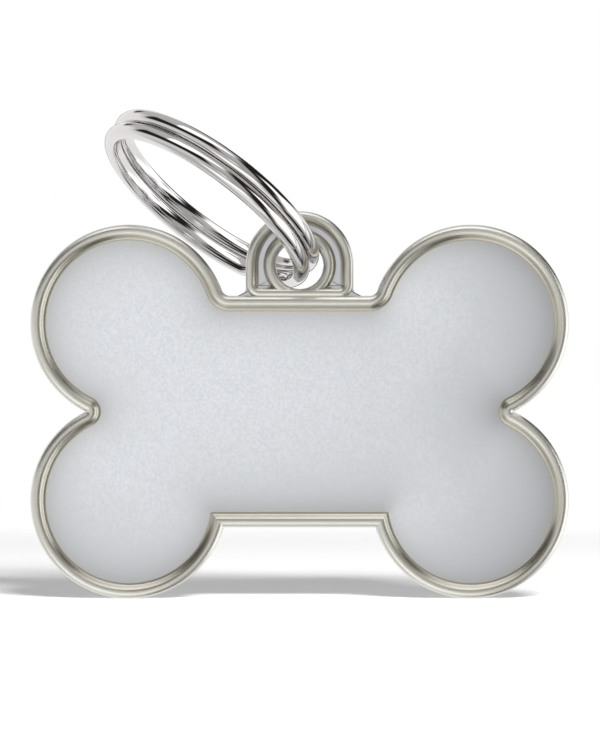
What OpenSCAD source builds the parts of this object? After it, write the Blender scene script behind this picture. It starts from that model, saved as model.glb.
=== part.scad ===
// Bone-shaped pet identity tag. A cast tag with a raised rim and a lug, a satin face plate
// bonded in the tag's recess, and a sprung split ring that passes through the lug's hole.
// The origin is the middle of the bone on its flat back. X runs along the tag, Z is up, and
// the front looks along -Y. Lengths are millimetres and angles are degrees.

/* [Bone outline] */
// Radius of each round lobe
lobe_r = 7.31; // [6.9:0.01:7.8]
// Sideways distance from the middle to a lobe's centre
lobe_x = 12.69; // [11:0.01:15]
// Height from the middle to a lobe's centre
lobe_z = 6.57; // [6.1:0.01:6.9]
// Height from the middle to the bar's straight edge
bar_z = 8.6; // [8.1:0.05:9.2]
// Fillet between the bar's top edge and the upper lobes
shoulder_r = 0.67; // [0.4:0.01:1]

/* [Casting] */
// Thickness of the wall behind the recess
back_t = 1.3; // [1.1:0.05:1.4]
// Thickness of the tag over the rim's crest
rim_h = 2.4; // [2.2:0.05:2.8]
// Width of the half-round rim
rim_w = 0.92; // [0.7:0.02:1.1]

/* [Lug] */
// Height of the hole's centre above the middle of the bone
hole_z = 10.89; // [10.6:0.01:11.4]
// Radius of the hole
hole_r = 1.78; // [1.7:0.01:2]
// Outer radius of the lug
lug_r = 4; // [3.8:0.05:4.4]
// Thickness of the lug at the floor of its channel
lug_floor_h = 1.75; // [1.5:0.05:1.8]
// Thickness of the lug over its bead
lug_h = 2.25; // [2.2:0.01:2.35]
// Width of the lug's bead
lug_bead_w = 0.74; // [0.6:0.02:0.8]
// Inner radius of the bead's two lower corners
bead_corner_r = 0.3; // [0.2:0.05:0.5]
// Height of the bead's lower run above the bar's edge, at its middle
root_rise = 0.2; // [0.1:0.02:0.3]
// Width of the collar round the hole
collar_w = 0.84; // [0.7:0.02:0.9]
// Thickness of the lug over the collar
collar_h = 2.18; // [2.15:0.01:2.3]
// Fillet between the lug's sides and the bar
flare_r = 0.6; // [0.3:0.05:0.8]
// Rounding of the hole's back edge
hole_round = 0.4; // [0.3:0.01:0.5]

/* [Face plate] */
// Thickness of the bonding film under the plate
film_t = 0.12; // [0.08:0.01:0.2]
// Thickness of the plate
plate_t = 0.58; // [0.4:0.02:0.6]
// Gap between the plate's edge and the rim
plate_gap = 0.04; // [0.02:0.01:0.08]
// How far the film stays inside the plate's edge
film_inset = 0.3; // [0.1:0.05:0.6]

/* [Split ring] */
// Inner radius of the ring
ring_inner_r = 8.1; // [7.5:0.05:9]
// Width of the wire from the ring's inside to its outside
wire_w = 1.09; // [1:0.01:1.25]
// Thickness of the wire along the ring's axis
wire_t = 1.17; // [1.15:0.01:1.2]
// Gap between the two turns
turn_gap = 0.08; // [0.05:0.01:0.1]
// Rounding of the wire's outer edges
wire_outer_round = 0.56; // [0.3:0.01:0.57]
// Rounding of the wire's inner edges
wire_inner_round = 0.19; // [0.15:0.01:0.35]
// How far the wire's middle lies beyond the hole's centre
ring_seat = 0.45; // [0.3:0.01:0.5]
// Lean of the ring from upright, to the left as seen from the front
ring_swing = 53.6; // [40:0.1:70]
// Turn of the ring's plane from square to the tag
ring_tilt = 15.9; // [0:0.1:18]
// How far the ring's middle lies to the upper right of its plane through the hole's centre
ring_shift = 0.05; // [0:0.01:0.1]
// Place of the step between the turns, counted round the ring from the hole
step_at = 49; // [45:1:55]
// Half the angle that the step takes
step_half = 7; // [5:0.5:9]

/* [Hidden] */
$fn = 96;

// Overrun of a cut past the solid that it cuts
over = 1;
full_turn = 360;

// Where the side notch's point lies, and the direction from a lobe's centre to it
notch_x = lobe_x + sqrt(pow(lobe_r, 2) - pow(lobe_z, 2));
notch_angle = asin(lobe_z / lobe_r);

// Centre of the shoulder fillet, and its angle above level as seen from the upper lobe
shoulder_z = bar_z + shoulder_r;
shoulder_x = lobe_x - sqrt(pow(lobe_r + shoulder_r, 2) - pow(shoulder_z - lobe_z, 2));
shoulder_angle = asin((shoulder_z - lobe_z) / (lobe_r + shoulder_r));

// The rim's crest is swept in steps: along a lobe, round the notch and the shoulder, and over its
// half-round section. It lies just inside the rim's wall and reaches down into it.
lobe_steps = 24;
notch_steps = 4;
shoulder_steps = 5;
crest_steps = 6;
crest_shy = 0.01;
crest_foot = 0.1;

// Levels of the layers above the back
film_top = back_t + film_t;
plate_inset = rim_w + plate_gap;

// The lug's bead closes with a lower run, level with the bar's top edge
root_z = bar_z + root_rise;
bead_turn_r = bead_corner_r + lug_bead_w;
bead_turn_x = lug_r - bead_turn_r;
bead_turn_z = root_z - lug_bead_w / 2 + bead_turn_r;

// The ring's outer radius, its pitch from turn to turn, and its centre's distance from the hole
ring_outer_r = ring_inner_r + wire_w;
turn_pitch = wire_t + turn_gap;
ring_reach = ring_inner_r + wire_w / 2 - ring_seat;
step_overlap = 1;
step_rings = 14;
edge_steps = 5;
// How far inside the wire's surface the step is drawn, so that its ends lie inside the turns
step_shy = 0.01;

// Turns a drawing with its back on the XY plane upright, with its front towards -Y
module upright() {
    rotate([90, 0, 0]) children();
}

// Draws the children on both sides of the middle
module both_sides() {
    for (side = [0, 1]) mirror([side, 0, 0]) children();
}

// The bone's outline, drawn in by an inset
module bone(inset) {
    for (z = [-lobe_z, lobe_z], x = [-lobe_x, lobe_x]) translate([x, z]) circle(r = lobe_r - inset);
    square([2 * lobe_x, 2 * (bar_z - inset)], center = true);
    both_sides() {
        difference() {
            polygon([[notch_x, 0], [lobe_x, lobe_z], [lobe_x, -lobe_z]]);
            translate([notch_x, 0]) circle(r = inset);
        }
        difference() {
            polygon([[lobe_x, lobe_z], [shoulder_x, shoulder_z], [shoulder_x, 0]]);
            translate([shoulder_x, shoulder_z]) circle(r = shoulder_r + inset);
        }
    }
}

// Points of an arc from one angle to another
function arc(centre, r, from, to, steps) = [
    for (i = [0:steps])
        let (angle = from + (to - from) * i / steps)
        centre + r * [cos(angle), sin(angle)]
];
function mirrored(points) = [for (i = [1:len(points)]) let (p = points[len(points) - i]) [-p[0], p[1]]];
function all_but_first(points) = [for (i = [1:len(points) - 1]) points[i]];

// The bone's right edge at an inset, from the bar's lower corner up to the shoulder
function right_edge(inset) =
    let (
        r = lobe_r - inset,
        corner_angle = asin((bar_z - inset - lobe_z) / r),
        notch = [notch_x, 0]
    )
    concat(
        arc([lobe_x, -lobe_z], r, corner_angle - 180, notch_angle, lobe_steps),
        all_but_first(arc(notch, inset, 180 + notch_angle, 180 - notch_angle, 2 * notch_steps)),
        all_but_first(arc([lobe_x, lobe_z], r, -notch_angle, 180 - shoulder_angle, lobe_steps)),
        all_but_first(arc([shoulder_x, shoulder_z], shoulder_r + inset, -shoulder_angle, -90, shoulder_steps))
    );

// The half-round crest of the rim, swept round the whole edge
module rim_crest() {
    r = rim_w / 2;
    level = rim_h - r;
    section = concat(
        arc([r, level], r - crest_shy, 180, 0, crest_steps),
        [[rim_w - crest_shy, level - crest_foot], [crest_shy, level - crest_foot]]
    );
    edges = [for (p = section) let (right = right_edge(p[0])) concat(right, mirrored(right))];
    rings = len(edges[0]);
    count = len(section);
    points = [for (i = [0:rings - 1], j = [0:count - 1]) [each edges[j][i], section[j][1]]];
    faces = [
        for (i = [0:rings - 1], j = [0:count - 1])
            let (
                a = i * count,
                b = (i + 1) % rings * count,
                next = (j + 1) % count
            )
            each [[a + j, b + next, b + j], [a + j, a + next, b + next]]
    ];
    polyhedron(points, faces, convexity = 8);
}

// Runs a section along +X from the origin, with its inset towards +Y
module level_run(length) {
    rotate([90, 0, 90]) linear_extrude(length) children();
}

// A half-round bead on a straight foot
module bead_section(width, height) {
    square([width, height - width / 2]);
    translate([width / 2, height - width / 2]) circle(d = width);
}

module bone_casting() {
    difference() {
        linear_extrude(rim_h - rim_w / 2) bone(0);
        translate([0, 0, back_t]) linear_extrude(rim_h) bone(rim_w);
    }
    rim_crest();
}

// The lug's web, down to the middle of the bar's rim, with a flare on each side of its root
module lug_web() {
    foot_z = bar_z - rim_w / 2;
    linear_extrude(lug_floor_h) {
        difference() {
            translate([0, hole_z]) circle(r = lug_r);
            translate([-lug_r, foot_z - 2 * lug_r]) square(2 * lug_r);
        }
        translate([-lug_r, foot_z]) square([2 * lug_r, hole_z - foot_z]);
        both_sides() difference() {
            translate([lug_r, foot_z]) square([flare_r, bar_z + flare_r - foot_z]);
            translate([lug_r + flare_r, bar_z + flare_r]) circle(r = flare_r);
        }
    }
}

// The bead that follows the lug's edge and turns along its root
module lug_bead() {
    translate([0, hole_z]) rotate_extrude(angle = 180)
        translate([lug_r, 0]) mirror([1, 0]) bead_section(lug_bead_w, lug_h);
    both_sides() {
        translate([-lug_r, hole_z]) rotate([90, 0, 0])
            linear_extrude(hole_z - bead_turn_z) bead_section(lug_bead_w, lug_h);
        translate([-bead_turn_x, bead_turn_z]) rotate(180) rotate_extrude(angle = 90)
            translate([bead_turn_r, 0]) mirror([1, 0]) bead_section(lug_bead_w, lug_h);
    }
    translate([-bead_turn_x, root_z - lug_bead_w / 2])
        level_run(2 * bead_turn_x) bead_section(lug_bead_w, lug_h);
}

module lug_collar() {
    translate([0, hole_z]) rotate_extrude() translate([hole_r, 0]) bead_section(collar_w, collar_h);
}

// The hole, with its back edge rounded
module lug_hole() {
    translate([0, hole_z]) {
        translate([0, 0, -over]) cylinder(r = hole_r, h = rim_h + 2 * over);
        rotate_extrude() difference() {
            square([hole_r + hole_round, hole_round]);
            translate([hole_r + hole_round, hole_round]) circle(r = hole_round);
        }
    }
}

module tag_body() {
    color("silver") upright() difference() {
        union() {
            bone_casting();
            lug_web();
            lug_bead();
            lug_collar();
        }
        lug_hole();
    }
}

module adhesive_film() {
    color("whitesmoke") upright() translate([0, 0, back_t])
        linear_extrude(film_t) bone(plate_inset + film_inset);
}

module face_plate() {
    color("lightsteelblue") upright() translate([0, 0, film_top]) linear_extrude(plate_t) bone(plate_inset);
}

// The wire's section at its radius from the ring's axis, with the middle of its thickness at y = 0
module wire_section() {
    difference() {
        translate([ring_inner_r, -wire_t / 2]) square([wire_w, wire_t]);
        for (side = [0, 1]) mirror([0, side]) {
            translate([ring_inner_r, -wire_t / 2]) edge_waste(wire_inner_round);
            translate([ring_outer_r, -wire_t / 2]) mirror([1, 0]) edge_waste(wire_outer_round);
        }
    }
}

// What a rounding takes off a square corner at the origin
module edge_waste(r) {
    difference() {
        square(r);
        translate([r, r]) circle(r = r);
    }
}

// One turn of the wire on its level, from one angle to another
module turn(level, start, end) {
    translate([0, 0, level]) rotate(start) rotate_extrude(angle = end - start) wire_section();
}

// The wire's section as points, going round it once from its inner lower edge
function edge_arc(cx, cy, r, start) = [
    for (i = [0:edge_steps])
        let (angle = start + 90 * i / edge_steps)
        [cx + (r - step_shy) * cos(angle), cy + (r - step_shy) * sin(angle)]
];
function wire_points() = concat(
    edge_arc(ring_inner_r + wire_inner_round, wire_inner_round - wire_t / 2, wire_inner_round, 180),
    edge_arc(ring_outer_r - wire_outer_round, wire_outer_round - wire_t / 2, wire_outer_round, 270),
    edge_arc(ring_outer_r - wire_outer_round, wire_t / 2 - wire_outer_round, wire_outer_round, 0),
    edge_arc(ring_inner_r + wire_inner_round, wire_t / 2 - wire_inner_round, wire_inner_round, 90)
);

// Height of the wire's middle in the step: level at both ends, and steepest half way
function step_level(angle) =
    let (share = max(-1, min(1, angle / step_half)))
    -turn_pitch / 2 * sin(90 * share);

// The step in which the wire passes from the upper turn to the lower one
module step() {
    section = wire_points();
    count = len(section);
    reach = step_half + step_overlap;
    points = [
        for (i = [0:step_rings])
            let (angle = reach * (2 * i / step_rings - 1), level = step_level(angle))
            for (p = section) [p[0] * cos(angle), p[0] * sin(angle), p[1] + level]
    ];
    sides = [
        for (i = [0:step_rings - 1], j = [0:count - 1])
            let (next = (j + 1) % count)
            each [
                [(i + 1) * count + next, (i + 1) * count + j, i * count + j],
                [i * count + next, (i + 1) * count + next, i * count + j]
            ]
    ];
    first = [for (j = [count - 1:-1:0]) j];
    last = [for (j = [0:count - 1]) step_rings * count + j];
    polyhedron(points, concat([first, last], sides), convexity = 4);
}

// The split ring about its own axis, with the hole at angle 0: one wire that goes round twice
module coil() {
    rotate(step_at) {
        turn(turn_pitch / 2, step_half + step_overlap, full_turn - step_half);
        turn(-turn_pitch / 2, step_half, full_turn - step_half - step_overlap);
        step();
    }
}

// The ring passes through the lug's hole, leaning to the left
module split_ring() {
    lug_mid_y = -lug_floor_h / 2;
    color("gainsboro") translate([0, lug_mid_y, hole_z]) rotate([0, -ring_swing, 0])
        translate([0, 0, ring_reach]) rotate([0, 0, ring_tilt]) translate([ring_shift, 0, 0])
        rotate([0, 90, 0]) coil();
}

tag_body();
adhesive_film();
face_plate();
split_ring();
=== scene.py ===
"""Looks of a bone-shaped pet id tag with its split ring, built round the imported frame.

The object's sizes are millimetres, and MM turns them into the scene's metres. A drawing point
(x, z, h) lies h in front of the flat back, so its place in the frame is (x, -h, z).
"""

import math

import bmesh
import bpy
import numpy
from mathutils import Matrix, Vector
from mathutils.geometry import delaunay_2d_cdt


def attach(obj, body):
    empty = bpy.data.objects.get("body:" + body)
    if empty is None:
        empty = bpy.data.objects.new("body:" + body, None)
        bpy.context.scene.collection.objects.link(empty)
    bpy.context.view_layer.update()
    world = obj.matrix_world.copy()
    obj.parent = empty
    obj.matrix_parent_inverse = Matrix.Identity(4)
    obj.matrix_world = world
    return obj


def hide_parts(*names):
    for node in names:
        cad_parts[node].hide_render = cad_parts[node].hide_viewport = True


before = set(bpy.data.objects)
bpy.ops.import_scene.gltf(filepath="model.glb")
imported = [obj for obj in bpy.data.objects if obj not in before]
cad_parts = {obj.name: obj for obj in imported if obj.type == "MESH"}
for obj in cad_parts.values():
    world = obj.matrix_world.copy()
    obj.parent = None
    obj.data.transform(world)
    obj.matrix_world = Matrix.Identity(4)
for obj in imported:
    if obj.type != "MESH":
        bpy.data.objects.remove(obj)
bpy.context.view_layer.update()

MM = 0.001

# Bone outline
LOBE_R = 7.31
LOBE_X = 12.69
LOBE_Z = 6.57
BAR_Z = 8.6
SHOULDER_R = 0.67

# Casting
BACK_T = 1.3
RIM_H = 2.4
RIM_W = 0.92
BACK_ROUND = 0.2
COVE_ANGLE = math.radians(60)

# Lug
HOLE_Z = 10.89
HOLE_R = 1.78
LUG_R = 4.0
LUG_FLOOR_H = 1.75
LUG_H = 2.25
LUG_BEAD_W = 0.74
BEAD_CORNER_R = 0.3
ROOT_RISE = 0.2
COLLAR_W = 0.84
COLLAR_H = 2.18
FLARE_R = 0.6
HOLE_ROUND = 0.4
LUG_COVE_ANGLE = math.radians(80)
# How far one surface lies behind another that hides it
BEAD_FOOT = 0.05
WALL_SKIN = 0.01

# Face plate. Its dome rises over a margin of about DOME_W, and the painted shade that darkens its
# edge fades over a margin of about EDGE_FADE.
FILM_T = 0.12
PLATE_T = 0.58
PLATE_CELL = 0.6
DOME = 0.1
DOME_W = 2.4
EDGE_FADE = 0.7

# Split ring
RING_RI = 8.1
WIRE_W = 1.09
WIRE_T = 1.17
TURN_GAP = 0.08
WIRE_OUTER_ROUND = 0.56
WIRE_INNER_ROUND = 0.19
WIRE_CROWN = 0.09
RING_SEAT = 0.45
RING_SWING = math.radians(53.6)
RING_TILT = math.radians(15.9)
RING_SHIFT = 0.05
STEP_AT = math.radians(49)
STEP_HALF = math.radians(7)
STEP_OVERLAP = math.radians(1)
WIRE_END_ROUND = 0.1

# Derived places
NOTCH_X = LOBE_X + math.sqrt(LOBE_R**2 - LOBE_Z**2)
NOTCH_ANGLE = math.asin(LOBE_Z / LOBE_R)
SHOULDER_Z = BAR_Z + SHOULDER_R
SHOULDER_X = LOBE_X - math.sqrt((LOBE_R + SHOULDER_R) ** 2 - (SHOULDER_Z - LOBE_Z) ** 2)
SHOULDER_ANGLE = math.asin((SHOULDER_Z - LOBE_Z) / (LOBE_R + SHOULDER_R))
FILM_TOP = BACK_T + FILM_T
PLATE_TOP = FILM_TOP + PLATE_T
BONE_W = 2 * (LOBE_X + LOBE_R)
ROOT_Z = BAR_Z + ROOT_RISE
LUG_FOOT_Z = BAR_Z - RIM_W / 2
BEAD_TURN_R = BEAD_CORNER_R + LUG_BEAD_W
BEAD_TURN_X = LUG_R - BEAD_TURN_R
BEAD_TURN_Z = ROOT_Z - LUG_BEAD_W / 2 + BEAD_TURN_R
TURN_PITCH = WIRE_T + TURN_GAP
RING_REACH = RING_RI + WIRE_W / 2 - RING_SEAT
FLOOR_Z = -(LOBE_Z + LOBE_R)

# How finely curves are drawn
LOBE_STEPS = 96
NOTCH_STEPS = 12
SHOULDER_STEPS = 16
BEAD_STEPS = 28
SMALL_STEPS = 8
RUN_STEPS = 32
WIRE_STEPS_PER_TURN = 240
SHARP_ANGLE = math.radians(20)
MERGE_DISTANCE = 1e-7
MESH_TOLERANCE = 1e-9
LEAST_SQUARE = 1e-12

# Colours, each as the two ends of a slow variation, and the factors that darken them with painted shade
# in a recess
SILVER = (0.72, 0.735, 0.76), (0.75, 0.765, 0.79)
WARM = (0.81, 0.795, 0.705), (0.85, 0.835, 0.745)
SATIN = (0.79, 0.81, 0.845), (0.81, 0.83, 0.865)
WIRE = (0.71, 0.69, 0.68), (0.74, 0.72, 0.71)
FILM = (0.8, 0.8, 0.77), (0.88, 0.88, 0.86)
# Factors of painted shade, for the coves and for the plate's edge
COVE_SHADE = (0.62, 0.585, 0.505)
PLATE_EDGE_SHADE = (0.88, 0.86, 0.82)
# Heights between which the casting turns from silver to warm, and how soon the painted shade in a cove
# deepens
RAISED = (1.78, 1.9)
COVE_SHADE_POWER = 0.7

# Finishes: a roughness, how far it varies, and the grains per metre
CAST_FINISH = (0.4, 0.02, 1500)
SATIN_FINISH = (0.2, 0.02, 6000)
WIRE_FINISH = (0.03, 0.005, 1500)
COAT_ROUGHNESS = 0.05
COAT_IOR = 2.1
FILM_ROUGHNESS = 0.6
SATIN_RELIEF = 0.02
RELIEF_DEPTH = 0.02
CLOUD_SCALE = 90
CLOUD_DETAIL = 3
GRAIN_DETAIL = 2
FILM_SCALE = 400
NOISE_RANGE = (0.3, 0.7)

# Where a Mix node keeps its two colours and its mixed colour
COLOUR_SOCKETS = slice(6, 8)
COLOUR_RESULT = 2

# Camera: square to the face. AIM_PIXELS is the picture's middle as seen from the origin. The bone is
# BONE_PIXELS wide at a height of AIM_H.
BONE_PIXELS = 537.2
IMAGE_H = 750
FOCAL_PIXELS = 4000
AIM_PIXELS = (0.4, 36.5)
AIM_H = RIM_H / 2
SENSOR = 36
CLIP = (0.01, 20)

# Floor, in metres from the origin: it fades into the white background beyond the object's shadow
FLOOR_SOLID = 0.09
FLOOR_END = 0.16
FLOOR_WHITE = 0.95
FLOOR_GLOSS = 0.04
FLOOR_ROUGHNESS = 0.12
FLOOR_GLOW = 0.22

# The lamp: its azimuth and elevation in degrees, its distance and size in metres, and its level.
# Azimuth 0 is the camera's side and grows to the right.
KEY_PLACE = (20, 37)
KEY_DISTANCE = 0.6
KEY_SIZE = (0.22, 0.14)
KEY_LEVEL = 48

# The studio that the metal reflects. Each patch has its middle's azimuth and elevation, its half width
# and half height, the width of its soft edge, all in degrees, and its level.
ROOM_LEVEL = 0.58
PATCHES = [
    (-78, 0, 45, 16, 10, 0.8),
    (-52, 32, 52, 17, 10, 0.02),
    (0, 66, 60, 17, 8, 1.6),
    (-20, -32, 30, 12, 8, 1.4),
    (-10, -60, 60, 12, 8, 1.05),
    (12, 4, 20, 20, 10, 0.45),
    (92, -5, 33, 32, 8, 1.5),
    (78, 42, 26, 11, 8, 0.02),
    (48, 14, 12, 26, 8, 0.02),
    (37, -28, 12, 26, 8, 0.02),
    (65, -68, 45, 13, 8, 0.03),
]
BACK_FLAGS = [(128, 35, 42, 18, 10, 0.02), (-150, 36, 12, 5, 6, 0.1)]
# A glow round the camera's own direction: its azimuth, elevation, level and radius
FRONT_GLOW = (-1.8, 0.5, 1.34, 10)
# The backdrop behind the object. It comes in as a direction's y grows over BACKDROP_DEPTH, and fades
# out over the elevations of BACKDROP_TOP. A dark core lies in its middle.
BACKDROP_LEVEL = 1
BACKDROP_DEPTH = (0.15, 0.45)
BACKDROP_TOP = (28, 45)
CORE_LEVEL = 0.03
CORE_DEPTH = (0.945, 0.975)
# What lights the matt surfaces, and what the camera sees past the floor
AMBIENT = 0.2
BACKGROUND = 1
TO_DEGREES = math.degrees(1)


def at(x, z, h):
    """The scene point of a drawing point."""
    return Vector((x, -h, z)) * MM


def arc(centre, r, start, end, steps):
    """Points of an arc from one angle to another, both ends included."""
    points = []
    for i in range(steps + 1):
        a = start + (end - start) * i / steps
        points.append((centre[0] + r * math.cos(a), centre[1] + r * math.sin(a)))
    return points


def right_edge(inset):
    """The bone's right edge at an inset, from the bar's lower corner up to the shoulder."""
    r = LOBE_R - inset
    corner = math.asin((BAR_Z - inset - LOBE_Z) / r) - math.pi
    half = math.pi / 2
    return (
        arc((LOBE_X, -LOBE_Z), r, corner, NOTCH_ANGLE, LOBE_STEPS)
        + arc((NOTCH_X, 0), inset, math.pi + NOTCH_ANGLE, math.pi - NOTCH_ANGLE, 2 * NOTCH_STEPS)[1:]
        + arc((LOBE_X, LOBE_Z), r, -NOTCH_ANGLE, math.pi - SHOULDER_ANGLE, LOBE_STEPS)[1:]
        + arc((SHOULDER_X, SHOULDER_Z), SHOULDER_R + inset, -SHOULDER_ANGLE, -half, SHOULDER_STEPS)[1:]
    )


def bone_edge(inset):
    """The whole closed outline at an inset, anticlockwise as seen from the front."""
    right = right_edge(inset)
    left = [(-x, z) for x, z in reversed(right)]
    return right + run(right[-1], left[0]) + left + run(left[-1], right[0])


def run(start, end):
    """Points between the ends of a straight stretch."""
    shares = [i / RUN_STEPS for i in range(1, RUN_STEPS)]
    return [(start[0] + (end[0] - start[0]) * t, start[1] + (end[1] - start[1]) * t) for t in shares]


def bead_with_cove(width, top, foot, angle):
    """A bead's section, from its outer wall to the bottom of the cove inside it, and its whole width."""
    r = width / 2
    cove_r = (top - foot) / (1 - math.cos(angle)) - r
    reach = r + (r + cove_r) * math.sin(angle)
    half = math.pi / 2
    crest = arc((r, top - r), r, math.pi, half - angle, BEAD_STEPS)
    cove = arc((reach, foot + cove_r), cove_r, -half - angle, -half, BEAD_STEPS // 2)
    return crest + cove[1:], reach


def recess(section, width, reach):
    """How deep in the cove each point of a bead's section lies, from 0 on the crest to 1, as its share
    of painted shade.
    """
    crest = width / 2
    return [max(0, min(1, (inset - crest) / (reach - crest))) ** COVE_SHADE_POWER for inset, _ in section]


def lug_section(width, top):
    """A bead on the lug's web, with its foot just inside the web."""
    section, reach = bead_with_cove(width, top, LUG_FLOOR_H, LUG_COVE_ANGLE)
    foot = LUG_FLOOR_H - BEAD_FOOT
    # Each point carries its share of painted shade, and the hidden foot takes all of it
    return [(0, foot)] + section + [(reach, foot)], [0] + recess(section, width, reach) + [1]


def make_object(name, verts, faces, depths):
    """A mesh object whose points know how deep in a recess they lie, as their share of painted shade."""
    mesh = bpy.data.meshes.new(name)
    mesh.from_pydata([tuple(v) for v in verts], [], faces)
    layer = mesh.attributes.new("recess", "FLOAT", "POINT")
    layer.data.foreach_set("value", depths)
    obj = bpy.data.objects.new(name, mesh)
    bpy.context.scene.collection.objects.link(obj)
    return obj


def finish_mesh(obj):
    """Merges doubled points, makes the normals consistent and shades smooth between sharp edges."""
    bm = bmesh.new()
    bm.from_mesh(obj.data)
    bmesh.ops.remove_doubles(bm, verts=bm.verts, dist=MERGE_DISTANCE)
    bmesh.ops.recalc_face_normals(bm, faces=bm.faces)
    bm.to_mesh(obj.data)
    bm.free()
    for polygon in obj.data.polygons:
        polygon.use_smooth = True
    obj.data.set_sharp_from_angle(angle=SHARP_ANGLE)
    return obj


class Shell:
    """Collects points and faces for one mesh."""

    def __init__(self):
        self.verts = []
        self.faces = []
        self.depths = []

    def ring(self, points, shade_share=0):
        """Adds points that lie as deep in a recess and take that share of painted shade, and returns
        their numbers.
        """
        start = len(self.verts)
        self.verts.extend(points)
        self.depths.extend([shade_share] * len(points))
        return list(range(start, start + len(points)))

    def bridge(self, a, b):
        """Quads between two closed rings of as many points."""
        for i in range(len(a)):
            j = (i + 1) % len(a)
            self.faces.append((a[i], a[j], b[j], b[i]))

    def cap(self, ring):
        """Closes a ring with one face."""
        self.faces.append(tuple(ring))

    def sweep(self, outline, section, depths, closed_section=False):
        """Sweeps (inset, height) points along an outline that is a function of the inset."""
        rings = []
        for (inset, h), shade_share in zip(section, depths):
            rings.append(self.ring([at(x, z, h) for x, z in outline(inset)], shade_share))
        for a, b in zip(rings, rings[1:]):
            self.bridge(a, b)
        if closed_section:
            self.bridge(rings[-1], rings[0])
        return rings

    def object(self, name):
        """Makes the finished object of all that was added."""
        return finish_mesh(make_object(name, self.verts, self.faces, self.depths))


def lug_outline():
    """The lug's web, seen from the front, with its flares and with its foot inside the bar's rim."""
    flare = (LUG_R + FLARE_R, BAR_Z + FLARE_R)
    right = [(LUG_R + FLARE_R, LUG_FOOT_Z)]
    right += arc(flare, FLARE_R, -math.pi / 2, -math.pi, SMALL_STEPS)
    right += arc((0, HOLE_Z), LUG_R, 0, math.pi / 2, LOBE_STEPS // 2)
    foot = run((-right[0][0], LUG_FOOT_Z), right[0])
    return foot + right + [(-x, z) for x, z in reversed(right[:-1])]


def bead_outline(inset):
    """The closed path of the lug's bead at an inset, cut off where it meets the hole."""
    r = BEAD_TURN_R - inset
    half = math.pi / 2
    right = arc((BEAD_TURN_X, BEAD_TURN_Z), r, -half, 0, SMALL_STEPS)
    right += arc((0, HOLE_Z), LUG_R - inset, 0, half, LOBE_STEPS // 2)
    path = right + [(-x, z) for x, z in reversed(right[:-1])]
    path += run(path[-1], path[0])
    return [clear_of_hole(x, z) for x, z in path]


def clear_of_hole(x, z):
    """Moves a point that lies in the hole to just behind the hole's wall."""
    r = math.hypot(x, z - HOLE_Z)
    scale = max(1, (HOLE_R + WALL_SKIN) / r)
    return x * scale, HOLE_Z + (z - HOLE_Z) * scale


def collar_outline(inset):
    """The hole's edge at an inset."""
    return arc((0, HOLE_Z), HOLE_R + inset, 0, 2 * math.pi, LOBE_STEPS)[:-1]


def build_casting():
    """The cast tag: back, rim, lug, lug bead and collar, as closed shells that run into each other."""
    shell = Shell()
    back_edge = arc((BACK_ROUND, BACK_ROUND), BACK_ROUND, -math.pi / 2, -math.pi, SMALL_STEPS)
    crest, reach = bead_with_cove(RIM_W, RIM_H, PLATE_TOP, COVE_ANGLE)
    section = back_edge + crest + [(reach, BACK_T)]
    # Each ring of the rim's section carries its share of painted shade, deepest in the cove
    rings = shell.sweep(bone_edge, section, recess(section, RIM_W, reach))
    shell.cap(rings[0])
    shell.cap(rings[-1])

    outline = lug_outline()
    angles = [math.atan2(z - HOLE_Z, x) for x, z in outline]

    def round_hole(r, h):
        """A circle round the hole, with a point for each point of the web's outline."""
        return shell.ring([at(r * math.cos(a), HOLE_Z + r * math.sin(a), h) for a in angles])

    mouth = arc((HOLE_R + HOLE_ROUND, HOLE_ROUND), HOLE_ROUND, -math.pi / 2, -math.pi, SMALL_STEPS)
    back = [at(x, z, 0 if z > LUG_FOOT_Z else WALL_SKIN) for x, z in outline]
    rings = [shell.ring([at(x, z, LUG_FLOOR_H) for x, z in outline]), shell.ring(back)]
    rings += [round_hole(r, h) for r, h in mouth + [(HOLE_R, LUG_FLOOR_H)]]
    for a, b in zip(rings, rings[1:] + rings[:1]):
        shell.bridge(a, b)

    shell.sweep(bead_outline, *lug_section(LUG_BEAD_W, LUG_H), closed_section=True)
    shell.sweep(collar_outline, *lug_section(COLLAR_W, COLLAR_H), closed_section=True)
    return shell.object("tag_casting")


def build_plate():
    """The satin plate, which meets the cove inside the rim and rises to a low smooth dome."""
    shell = Shell()
    inset = bead_with_cove(RIM_W, RIM_H, PLATE_TOP, COVE_ANGLE)[1]
    # The plate's edge wall takes the full painted shade
    rings = shell.sweep(bone_edge, [(inset, FILM_TOP), (inset, PLATE_TOP)], [1, 1])
    shell.cap(rings[0])

    edge = bone_edge(inset)
    cells = numpy.array(list(plate_cells()))
    inside = cells[depth_inside(edge, cells) > PLATE_CELL / 2]
    points = [Vector(p) for p in edge] + [Vector(p) for p in inside]
    loop = [(i, (i + 1) % len(edge)) for i in range(len(edge))]
    found, _, faces, origins, _, _ = delaunay_2d_cdt(points, loop, [], 1, MESH_TOLERANCE)
    depths = numpy.maximum(depth_inside(edge, found), 0)
    place = []
    for (x, z), source, deep in zip(found, origins, depths):
        if source and source[0] < len(edge):
            place.append(rings[-1][source[0]])
            continue
        h = PLATE_TOP + DOME * (1 - math.exp(-deep / DOME_W))
        # Painted shade darkens the plate towards the rim and fades away inward
        place += shell.ring([at(x, z, h)], math.exp(-deep / EDGE_FADE))
    for face in faces:
        shell.faces.append(tuple(place[i] for i in face))
    return shell.object("satin_face_plate")


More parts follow.
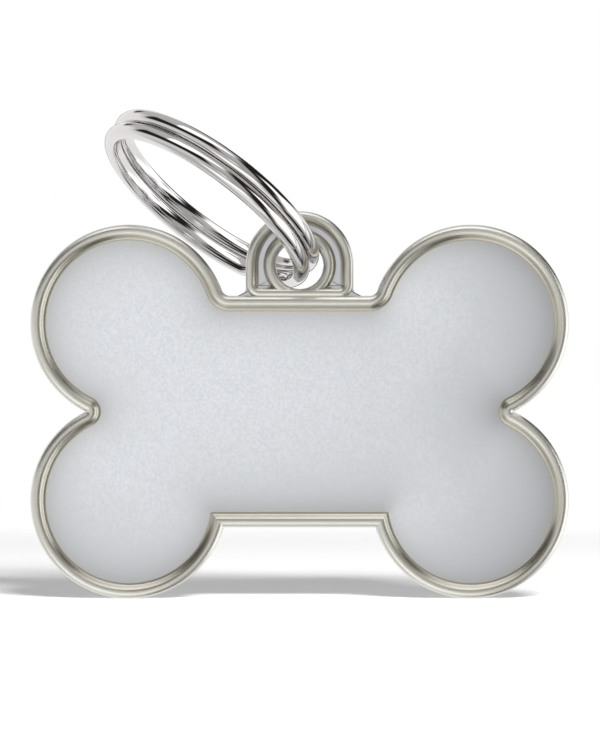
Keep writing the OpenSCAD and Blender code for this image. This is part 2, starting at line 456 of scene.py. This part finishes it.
def depth_inside(outline, points):
    """How deep each point lies inside a closed outline; less than zero outside it."""
    start = numpy.array(outline)
    side = numpy.roll(start, -1, axis=0) - start
    reach = numpy.array([tuple(p) for p in points])[:, None] - start
    along = (reach * side).sum(2) / numpy.maximum((side**2).sum(1), LEAST_SQUARE)
    gap = reach - numpy.clip(along, 0, 1)[..., None] * side
    far = numpy.hypot(gap[..., 0], gap[..., 1]).min(1)
    level = (reach[..., 1] < 0) != (reach[..., 1] < side[:, 1])
    left = (side[:, 0] * reach[..., 1] - side[:, 1] * reach[..., 0] > 0) == (side[:, 1] > 0)
    return numpy.where((level & left).sum(1) % 2, far, -far)


def plate_cells():
    """A staggered grid of points over the whole plate."""
    rows = int((LOBE_Z + LOBE_R) / PLATE_CELL) + 1
    columns = int((LOBE_X + LOBE_R) / PLATE_CELL) + 1
    for row in range(-rows, rows + 1):
        for column in range(-columns, columns + 1):
            yield (column + 0.5 * (row % 2)) * PLATE_CELL, row * PLATE_CELL


def wire_section():
    """The wire's section as (distance from the ring's axis, height), with a crown on its inner side."""
    low, high = -WIRE_T / 2, WIRE_T / 2
    outer = RING_RI + WIRE_W
    inner = RING_RI + WIRE_CROWN
    a, b = WIRE_INNER_ROUND, WIRE_OUTER_ROUND
    half = math.pi / 2
    chord = high - a
    crown_r = (chord**2 + WIRE_CROWN**2) / (2 * WIRE_CROWN)
    slope = math.asin(chord / crown_r)
    crown = arc((RING_RI + crown_r, 0), crown_r, math.pi - slope, math.pi + slope, 2 * SMALL_STEPS)
    return (
        arc((inner + a, low + a), a, math.pi, 3 * half, SMALL_STEPS)
        + arc((outer - b, low + b), b, -half, 0, 2 * SMALL_STEPS)
        + arc((outer - b, high - b), b, 0, half, 2 * SMALL_STEPS)
        + arc((inner + a, high - a), a, half, math.pi, SMALL_STEPS)
        + crown[1:-1]
    )


def wire_level(angle):
    """The height of the wire's middle: the upper turn, the step, then the lower turn."""
    share = max(-1, min(1, (angle - 2 * math.pi) / STEP_HALF))
    return -TURN_PITCH / 2 * math.sin(share * math.pi / 2)


def ring_matrix():
    """From the ring's own frame, with the hole at angle 0, to its place through the lug."""
    return (
        Matrix.Translation((0, -LUG_FLOOR_H / 2, HOLE_Z))
        @ Matrix.Rotation(-RING_SWING, 4, "Y")
        @ Matrix.Translation((0, 0, RING_REACH))
        @ Matrix.Rotation(RING_TILT, 4, "Z")
        @ Matrix.Translation((RING_SHIFT, 0, 0))
        @ Matrix.Rotation(math.pi / 2, 4, "Y")
    )


def build_ring():
    """The split ring: one wire wound twice, with square-cut ends that are lightly rounded."""
    shell = Shell()
    section = wire_section()
    place = ring_matrix()
    middle = RING_RI + WIRE_W / 2
    start = STEP_HALF + STEP_OVERLAP
    end = 4 * math.pi - start
    count = 2 * WIRE_STEPS_PER_TURN
    bevel = WIRE_END_ROUND / middle

    def wire_ring(angle, shrink=0):
        """The wire's section at an angle along it, made smaller all round by a shrink."""
        level = wire_level(angle)
        scale = 1 - shrink / (WIRE_T / 2)
        turn = STEP_AT + angle
        points = []
        for r, h in section:
            r = middle + (r - middle) * scale
            h = level + h * scale
            points.append(place @ Vector((r * math.cos(turn), r * math.sin(turn), h)) * MM)
        return shell.ring(points)

    rings = [wire_ring(start, WIRE_END_ROUND)]
    for i in range(count + 1):
        rings.append(wire_ring(start + bevel + (end - start - 2 * bevel) * i / count))
    rings.append(wire_ring(end, WIRE_END_ROUND))
    for a, b in zip(rings, rings[1:]):
        shell.bridge(a, b)
    shell.cap(rings[0])
    shell.cap(rings[-1])
    return shell.object("wire_split_ring")


def new_material(name):
    """A material with its nodes, links and shader."""
    material = bpy.data.materials.new(name)
    material.use_nodes = True
    nodes = material.node_tree.nodes
    return material, nodes, material.node_tree.links, nodes["Principled BSDF"]


def noise(nodes, links, scale, detail=CLOUD_DETAIL):
    """Noise in the object's own space, whose scale is in features per metre."""
    place = nodes.new("ShaderNodeTexCoord")
    texture = nodes.new("ShaderNodeTexNoise")
    texture.inputs["Scale"].default_value = scale
    texture.inputs["Detail"].default_value = detail
    links.new(place.outputs["Object"], texture.inputs["Vector"])
    return texture.outputs["Fac"]


def ramp(nodes, links, value, low, high):
    """Spreads a noise between two levels."""
    spread = nodes.new("ShaderNodeMapRange")
    spread.inputs["From Min"].default_value = NOISE_RANGE[0]
    spread.inputs["From Max"].default_value = NOISE_RANGE[1]
    spread.inputs["To Min"].default_value = low
    spread.inputs["To Max"].default_value = high
    links.new(value, spread.inputs["Value"])
    return spread.outputs["Result"]


def mixed(nodes, links, share, low, high, kind="MIX"):
    """Mixes two colours, each of them constant or linked, by a linked share."""
    mix = nodes.new("ShaderNodeMix")
    mix.data_type = "RGBA"
    mix.blend_type = kind
    links.new(share, mix.inputs["Factor"])
    for socket, colour in zip(mix.inputs[COLOUR_SOCKETS], (low, high)):
        if isinstance(colour, tuple):
            socket.default_value = (*colour, 1)
        else:
            links.new(colour, socket)
    return mix.outputs[COLOUR_RESULT]


def metal(name, colours, finish, relief=0):
    """A metal whose colour and roughness vary a little, with a fine grain that may stand in relief."""
    material, nodes, links, shader = new_material(name)
    roughness, spread, grains = finish
    shader.inputs["Metallic"].default_value = 1
    cloud = noise(nodes, links, CLOUD_SCALE)
    links.new(mixed(nodes, links, cloud, *colours), shader.inputs["Base Color"])
    grain = noise(nodes, links, grains, GRAIN_DETAIL)
    shine = ramp(nodes, links, grain, roughness - spread, roughness + spread)
    links.new(shine, shader.inputs["Roughness"])
    if relief:
        bump = nodes.new("ShaderNodeBump")
        bump.inputs["Strength"].default_value = relief
        bump.inputs["Distance"].default_value = RELIEF_DEPTH * MM
        links.new(grain, bump.inputs["Height"])
        links.new(bump.outputs["Normal"], shader.inputs["Normal"])
    return material, nodes, links, shader


def maths(nodes, links, operation, *values):
    """One sum of numbers and linked values."""
    node = nodes.new("ShaderNodeMath")
    node.operation = operation
    for socket, value in zip(node.inputs, values):
        if isinstance(value, (int, float)):
            socket.default_value = value
        else:
            links.new(value, socket)
    return node.outputs["Value"]


def smooth(nodes, links, value, start, end, low=0, high=1):
    """A smooth step of a value from one level to another."""
    step = nodes.new("ShaderNodeMapRange")
    step.interpolation_type = "SMOOTHSTEP"
    step.inputs["From Min"].default_value = start
    step.inputs["From Max"].default_value = end
    step.inputs["To Min"].default_value = low
    step.inputs["To Max"].default_value = high
    links.new(value, step.inputs["Value"])
    return step.outputs["Result"]


def casting_material():
    """Nickel: silver on the web and the back, warmer on the beads, lacquered, with shade painted darker
    in the coves.
    """
    material, nodes, links, shader = metal("polished_casting", SILVER, CAST_FINISH)
    shader.inputs["Coat Weight"].default_value = 1
    shader.inputs["Coat Roughness"].default_value = COAT_ROUGHNESS
    shader.inputs["Coat IOR"].default_value = COAT_IOR
    place = nodes.new("ShaderNodeTexCoord")
    parts = nodes.new("ShaderNodeSeparateXYZ")
    links.new(place.outputs["Object"], parts.inputs[0])
    raised = smooth(nodes, links, parts.outputs["Y"], -RAISED[0] * MM, -RAISED[1] * MM)
    cool = shader.inputs["Base Color"].links[0].from_socket
    warm = mixed(nodes, links, noise(nodes, links, CLOUD_SCALE), *WARM)
    colour = mixed(nodes, links, raised, cool, warm)
    # The coves' colour is darkened with painted shade
    links.new(paint_shade(nodes, links, colour, COVE_SHADE), shader.inputs["Base Color"])
    return material


def plate_material():
    """Satin metal with shade painted darker and warmer close to the rim."""
    material, nodes, links, shader = metal("satin_plate", SATIN, SATIN_FINISH, SATIN_RELIEF)
    colour = shader.inputs["Base Color"].links[0].from_socket
    # Painted shade darkens the plate's colour near the rim
    links.new(paint_shade(nodes, links, colour, PLATE_EDGE_SHADE), shader.inputs["Base Color"])
    return material


def wire_material():
    """Bright nickel on spring steel."""
    return metal("bright_spring_wire", WIRE, WIRE_FINISH)[0]


def film_material():
    """A pale film whose tone varies a little."""
    material, nodes, links, shader = new_material("bonding_film")
    shader.inputs["Roughness"].default_value = FILM_ROUGHNESS
    cloud = noise(nodes, links, FILM_SCALE)
    links.new(mixed(nodes, links, cloud, *FILM), shader.inputs["Base Color"])
    return material


def paint_shade(nodes, links, colour, factor):
    """Paints shade: multiplies a colour by a factor, fully at the bottom of a recess."""
    shade_share = nodes.new("ShaderNodeAttribute")
    shade_share.attribute_name = "recess"
    return mixed(nodes, links, shade_share.outputs["Fac"], colour, factor, "MULTIPLY")


def give(obj, material):
    """Makes a material the only one of an object."""
    obj.data.materials.clear()
    obj.data.materials.append(material)


def build_floor():
    """A white floor that keeps the object's shadow and a faint reflection of it."""
    mesh = bpy.data.meshes.new("floor")
    z, reach = FLOOR_Z * MM, FLOOR_END
    corners = [(-reach, -reach, z), (reach, -reach, z), (reach, reach, z), (-reach, reach, z)]
    mesh.from_pydata(corners, [], [(0, 1, 2, 3)])
    floor = bpy.data.objects.new("floor", mesh)
    bpy.context.scene.collection.objects.link(floor)
    material = bpy.data.materials.new("floor")
    material.use_nodes = True
    nodes, links = material.node_tree.nodes, material.node_tree.links
    nodes.remove(nodes["Principled BSDF"])

    matt = nodes.new("ShaderNodeBsdfDiffuse")
    matt.inputs["Color"].default_value = (FLOOR_WHITE, FLOOR_WHITE, FLOOR_WHITE, 1)
    gloss = nodes.new("ShaderNodeBsdfGlossy")
    gloss.inputs["Color"].default_value = (1, 1, 1, 1)
    gloss.inputs["Roughness"].default_value = FLOOR_ROUGHNESS
    polished = nodes.new("ShaderNodeMixShader")
    polished.inputs["Fac"].default_value = FLOOR_GLOSS
    links.new(matt.outputs[0], polished.inputs[1])
    links.new(gloss.outputs[0], polished.inputs[2])

    path = nodes.new("ShaderNodeLightPath")
    glow = nodes.new("ShaderNodeEmission")
    strength = maths(nodes, links, "MULTIPLY", path.outputs["Is Camera Ray"], FLOOR_GLOW)
    links.new(strength, glow.inputs["Strength"])
    lit = nodes.new("ShaderNodeAddShader")
    links.new(polished.outputs[0], lit.inputs[0])
    links.new(glow.outputs[0], lit.inputs[1])

    place = nodes.new("ShaderNodeTexCoord")
    length = nodes.new("ShaderNodeVectorMath")
    length.operation = "LENGTH"
    links.new(place.outputs["Object"], length.inputs[0])
    clear = nodes.new("ShaderNodeBsdfTransparent")
    faded = nodes.new("ShaderNodeMixShader")
    fade = smooth(nodes, links, length.outputs["Value"], FLOOR_SOLID, FLOOR_END)
    links.new(fade, faded.inputs["Fac"])
    links.new(lit.outputs[0], faded.inputs[1])
    links.new(clear.outputs[0], faded.inputs[2])
    links.new(faded.outputs[0], nodes["Material Output"].inputs["Surface"])
    give(floor, material)
    floor.visible_glossy = False


def build_key():
    """One soft box that looks at the origin and throws the shadow, and that no metal reflects."""
    a, e = (math.radians(angle) for angle in KEY_PLACE)
    away = Vector((math.sin(a) * math.cos(e), -math.cos(a) * math.cos(e), math.sin(e)))
    data = bpy.data.lights.new("key", "AREA")
    data.shape = "RECTANGLE"
    width, height = KEY_SIZE
    data.size = width
    data.size_y = height
    data.energy = KEY_LEVEL * math.pi * width * height
    lamp = bpy.data.objects.new("key", data)
    lamp.location = away * KEY_DISTANCE
    lamp.rotation_euler = away.to_track_quat("Z", "Y").to_euler()
    lamp.visible_glossy = False
    bpy.context.scene.collection.objects.link(lamp)


def within(nodes, links, value, centre, half, edge):
    """1 near a centre and 0 past a half width, over a soft edge."""
    off = maths(nodes, links, "ABSOLUTE", maths(nodes, links, "SUBTRACT", value, centre))
    return smooth(nodes, links, off, half - edge / 2, half + edge / 2, low=1, high=0)


def blend_level(nodes, links, level, other, mask):
    """Goes from one level to another by a mask."""
    step = maths(nodes, links, "SUBTRACT", other, level)
    return maths(nodes, links, "MULTIPLY_ADD", step, mask, level)


def add_patches(nodes, links, level, azimuth, elevation, patches):
    """Lays soft patches over a level, one after another."""
    for middle_az, middle_el, half_w, half_h, edge, patch_level in patches:
        across = within(nodes, links, azimuth, middle_az, half_w, edge)
        along = within(nodes, links, elevation, middle_el, half_h, edge)
        mask = maths(nodes, links, "MULTIPLY", across, along)
        level = blend_level(nodes, links, level, patch_level, mask)
    return level


def build_world():
    """A white backdrop for the camera, and a studio of soft boxes and dark flags for the metal."""
    world = bpy.data.worlds.new("studio")
    world.use_nodes = True
    bpy.context.scene.world = world
    nodes, links = world.node_tree.nodes, world.node_tree.links
    place = nodes.new("ShaderNodeTexCoord")
    parts = nodes.new("ShaderNodeSeparateXYZ")
    links.new(place.outputs["Generated"], parts.inputs[0])
    x, y, z = parts.outputs
    azimuth = maths(nodes, links, "ARCTAN2", x, maths(nodes, links, "MULTIPLY", y, -1))
    azimuth = maths(nodes, links, "MULTIPLY", azimuth, TO_DEGREES)
    elevation = maths(nodes, links, "MULTIPLY", maths(nodes, links, "ARCSINE", z), TO_DEGREES)

    level = add_patches(nodes, links, ROOM_LEVEL, azimuth, elevation, PATCHES)

    glow_az, glow_el, glow_level, glow_r = FRONT_GLOW
    side = maths(nodes, links, "SUBTRACT", azimuth, glow_az)
    rise = maths(nodes, links, "SUBTRACT", elevation, glow_el)
    side_square = maths(nodes, links, "POWER", side, 2)
    rise_square = maths(nodes, links, "POWER", rise, 2)
    off = maths(nodes, links, "SQRT", maths(nodes, links, "ADD", side_square, rise_square))
    glow = smooth(nodes, links, off, 0, glow_r, low=1, high=0)
    level = blend_level(nodes, links, level, glow_level, glow)

    behind = smooth(nodes, links, y, *BACKDROP_DEPTH)
    below = smooth(nodes, links, elevation, *BACKDROP_TOP, low=1, high=0)
    backdrop = maths(nodes, links, "MULTIPLY", behind, below)
    level = blend_level(nodes, links, level, BACKDROP_LEVEL, backdrop)
    level = add_patches(nodes, links, level, azimuth, elevation, BACK_FLAGS)
    level = blend_level(nodes, links, level, CORE_LEVEL, smooth(nodes, links, y, *CORE_DEPTH))

    path = nodes.new("ShaderNodeLightPath")
    level = blend_level(nodes, links, level, AMBIENT, path.outputs["Is Diffuse Ray"])
    level = blend_level(nodes, links, level, BACKGROUND, path.outputs["Is Camera Ray"])
    background = nodes["Background"]
    links.new(level, background.inputs["Color"])
    background.inputs["Strength"].default_value = 1


def build_camera():
    """The photograph's view, square to the face and in its frame."""
    pixel = BONE_W / BONE_PIXELS * MM
    data = bpy.data.cameras.new("camera")
    data.sensor_width = SENSOR
    data.lens = FOCAL_PIXELS / IMAGE_H * SENSOR
    data.clip_start, data.clip_end = CLIP
    camera = bpy.data.objects.new("camera", data)
    camera.location = (AIM_PIXELS[0] * pixel, -AIM_H * MM - FOCAL_PIXELS * pixel, AIM_PIXELS[1] * pixel)
    camera.rotation_euler = (math.pi / 2, 0, 0)
    bpy.context.scene.collection.objects.link(camera)
    bpy.context.scene.camera = camera


casting = build_casting()
give(casting, casting_material())
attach(casting, "tag")
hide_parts("tag_body")

plate = build_plate()
give(plate, plate_material())
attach(plate, "tag")
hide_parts("face_plate")

ring = build_ring()
give(ring, wire_material())
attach(ring, "ring")
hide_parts("split_ring")

give(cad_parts["adhesive_film"], film_material())

build_camera()
build_floor()
build_world()
build_key()

bpy.context.scene.view_settings.view_transform = "Standard"
